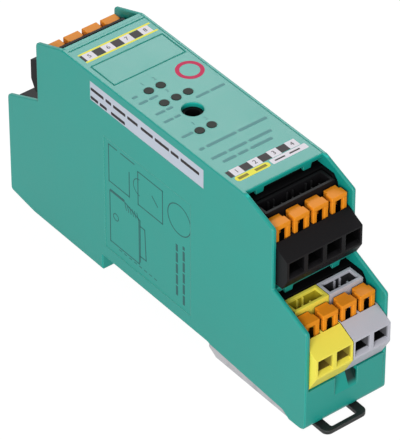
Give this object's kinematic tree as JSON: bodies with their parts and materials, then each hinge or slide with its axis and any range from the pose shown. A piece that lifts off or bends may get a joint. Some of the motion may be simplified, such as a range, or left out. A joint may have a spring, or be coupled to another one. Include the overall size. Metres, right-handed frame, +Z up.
{
  "type": "rail-mounted safety module",
  "caption": "Slim stepped rail-mounted safety module with pull-off push-in terminal plugs, press levers, indicator lenses and a sprung foot latch.",
  "frame": {"origin": "middle of the rail seat, on the face that rests on the rail", "axes": "+Y along the module towards the far end (away from the foot latch's loop), +Z up out of the rail towards the top face, X across the width"},
  "size_m": [0.0226, 0.1082, 0.053],
  "materials": {
    "housing_green": "fine moulded texture",
    "label_white": "smooth printed film",
    "plug_black": "fine moulded texture",
    "plug_yellow": "fine moulded texture",
    "plug_grey": "fine moulded texture",
    "lever_orange": "smooth moulding",
    "header_black": "fine moulded texture",
    "pin_metal": "tin plated",
    "spring_steel": "bright",
    "board_green": "lacquered laminate",
    "chip_white": "smooth",
    "lens_dark": "polished, unlit",
    "socket_black": "moulded",
    "relay_case": "moulded",
    "capacitor_can": "sleeved can",
    "chip_black": "moulded",
    "core_steel": "pressed core with winding",
    "screw_steel": "zinc plated",
    "latch_steel": "zinc plated sheet"
  },
  "bodies": {
    "housing": {"housing_shell": "housing_green", "side_cover": "housing_green", "flank_label": "label_white", "header_near_upper": "header_black", "header_near_lower": "header_black", "header_far_upper": "header_black", "header_pins_near_upper": "pin_metal", "header_pins_near_lower": "pin_metal", "header_pins_far_upper": "pin_metal", "blank_far_lower": "plug_black", "main_board": "board_green", "front_board": "board_green", "light_chips": "chip_white", "indicator_lenses": "lens_dark", "address_socket": "socket_black", "relay_1": "relay_case", "relay_2": "relay_case", "capacitor_1": "capacitor_can", "capacitor_2": "capacitor_can", "controller_1": "chip_black", "controller_2": "chip_black", "transformer": "core_steel", "latch_screws": "screw_steel"},
    "plug_near_upper": {"plug_near_upper": "plug_black", "contacts_near_upper": "pin_metal", "clamp_springs_near_upper": "spring_steel"},
    "lever_near_upper_1": {"lever_near_upper_1": "lever_orange"},
    "lever_near_upper_2": {"lever_near_upper_2": "lever_orange"},
    "lever_near_upper_3": {"lever_near_upper_3": "lever_orange"},
    "lever_near_upper_4": {"lever_near_upper_4": "lever_orange"},
    "plug_near_yellow": {"plug_near_yellow": "plug_yellow", "contacts_near_yellow": "pin_metal", "clamp_springs_near_yellow": "spring_steel"},
    "lever_near_yellow_1": {"lever_near_yellow_1": "lever_orange"},
    "lever_near_yellow_2": {"lever_near_yellow_2": "lever_orange"},
    "plug_near_grey": {"plug_near_grey": "plug_grey", "contacts_near_grey": "pin_metal", "clamp_springs_near_grey": "spring_steel"},
    "lever_near_grey_1": {"lever_near_grey_1": "lever_orange"},
    "lever_near_grey_2": {"lever_near_grey_2": "lever_orange"},
    "plug_far_upper": {"plug_far_upper": "plug_black", "contacts_far_upper": "pin_metal", "clamp_springs_far_upper": "spring_steel"},
    "lever_far_upper_1": {"lever_far_upper_1": "lever_orange"},
    "lever_far_upper_2": {"lever_far_upper_2": "lever_orange"},
    "lever_far_upper_3": {"lever_far_upper_3": "lever_orange"},
    "lever_far_upper_4": {"lever_far_upper_4": "lever_orange"},
    "latch": {"foot_latch": "latch_steel", "latch_spring": "spring_steel"}
  },
  "joints": [
    {"name": "plug_near_upper_pull", "type": "slide", "parent": "housing", "child": "plug_near_upper", "axis": [0, -1, 0], "range_m": [0, 0.012]},
    {"name": "lever_near_upper_1_press", "type": "slide", "parent": "plug_near_upper", "child": "lever_near_upper_1", "axis": [0, 0, -1], "range_m": [0, 0.0015], "stiffness_N_per_m": 2000, "springref_m": -0.002},
    {"name": "lever_near_upper_2_press", "type": "slide", "parent": "plug_near_upper", "child": "lever_near_upper_2", "axis": [0, 0, -1], "range_m": [0, 0.0015], "stiffness_N_per_m": 2000, "springref_m": -0.002},
    {"name": "lever_near_upper_3_press", "type": "slide", "parent": "plug_near_upper", "child": "lever_near_upper_3", "axis": [0, 0, -1], "range_m": [0, 0.0015], "stiffness_N_per_m": 2000, "springref_m": -0.002},
    {"name": "lever_near_upper_4_press", "type": "slide", "parent": "plug_near_upper", "child": "lever_near_upper_4", "axis": [0, 0, -1], "range_m": [0, 0.0015], "stiffness_N_per_m": 2000, "springref_m": -0.002},
    {"name": "plug_near_yellow_pull", "type": "slide", "parent": "housing", "child": "plug_near_yellow", "axis": [0, -1, 0], "range_m": [0, 0.012]},
    {"name": "lever_near_yellow_1_press", "type": "slide", "parent": "plug_near_yellow", "child": "lever_near_yellow_1", "axis": [0, 0, -1], "range_m": [0, 0.0015], "stiffness_N_per_m": 2000, "springref_m": -0.002},
    {"name": "lever_near_yellow_2_press", "type": "slide", "parent": "plug_near_yellow", "child": "lever_near_yellow_2", "axis": [0, 0, -1], "range_m": [0, 0.0015], "stiffness_N_per_m": 2000, "springref_m": -0.002},
    {"name": "plug_near_grey_pull", "type": "slide", "parent": "housing", "child": "plug_near_grey", "axis": [0, -1, 0], "range_m": [0, 0.012]},
    {"name": "lever_near_grey_1_press", "type": "slide", "parent": "plug_near_grey", "child": "lever_near_grey_1", "axis": [0, 0, -1], "range_m": [0, 0.0015], "stiffness_N_per_m": 2000, "springref_m": -0.002},
    {"name": "lever_near_grey_2_press", "type": "slide", "parent": "plug_near_grey", "child": "lever_near_grey_2", "axis": [0, 0, -1], "range_m": [0, 0.0015], "stiffness_N_per_m": 2000, "springref_m": -0.002},
    {"name": "plug_far_upper_pull", "type": "slide", "parent": "housing", "child": "plug_far_upper", "axis": [0, 1, 0], "range_m": [0, 0.012]},
    {"name": "lever_far_upper_1_press", "type": "slide", "parent": "plug_far_upper", "child": "lever_far_upper_1", "axis": [0, 0, -1], "range_m": [0, 0.0015], "stiffness_N_per_m": 2000, "springref_m": -0.002},
    {"name": "lever_far_upper_2_press", "type": "slide", "parent": "plug_far_upper", "child": "lever_far_upper_2", "axis": [0, 0, -1], "range_m": [0, 0.0015], "stiffness_N_per_m": 2000, "springref_m": -0.002},
    {"name": "lever_far_upper_3_press", "type": "slide", "parent": "plug_far_upper", "child": "lever_far_upper_3", "axis": [0, 0, -1], "range_m": [0, 0.0015], "stiffness_N_per_m": 2000, "springref_m": -0.002},
    {"name": "lever_far_upper_4_press", "type": "slide", "parent": "plug_far_upper", "child": "lever_far_upper_4", "axis": [0, 0, -1], "range_m": [0, 0.0015], "stiffness_N_per_m": 2000, "springref_m": -0.002},
    {"name": "foot_latch_pull", "type": "slide", "parent": "housing", "child": "latch", "axis": [0, -1, 0], "range_m": [0, 0.0035], "stiffness_N_per_m": 1500, "springref_m": -0.003, "deforming": ["latch_spring"]}
  ]
}
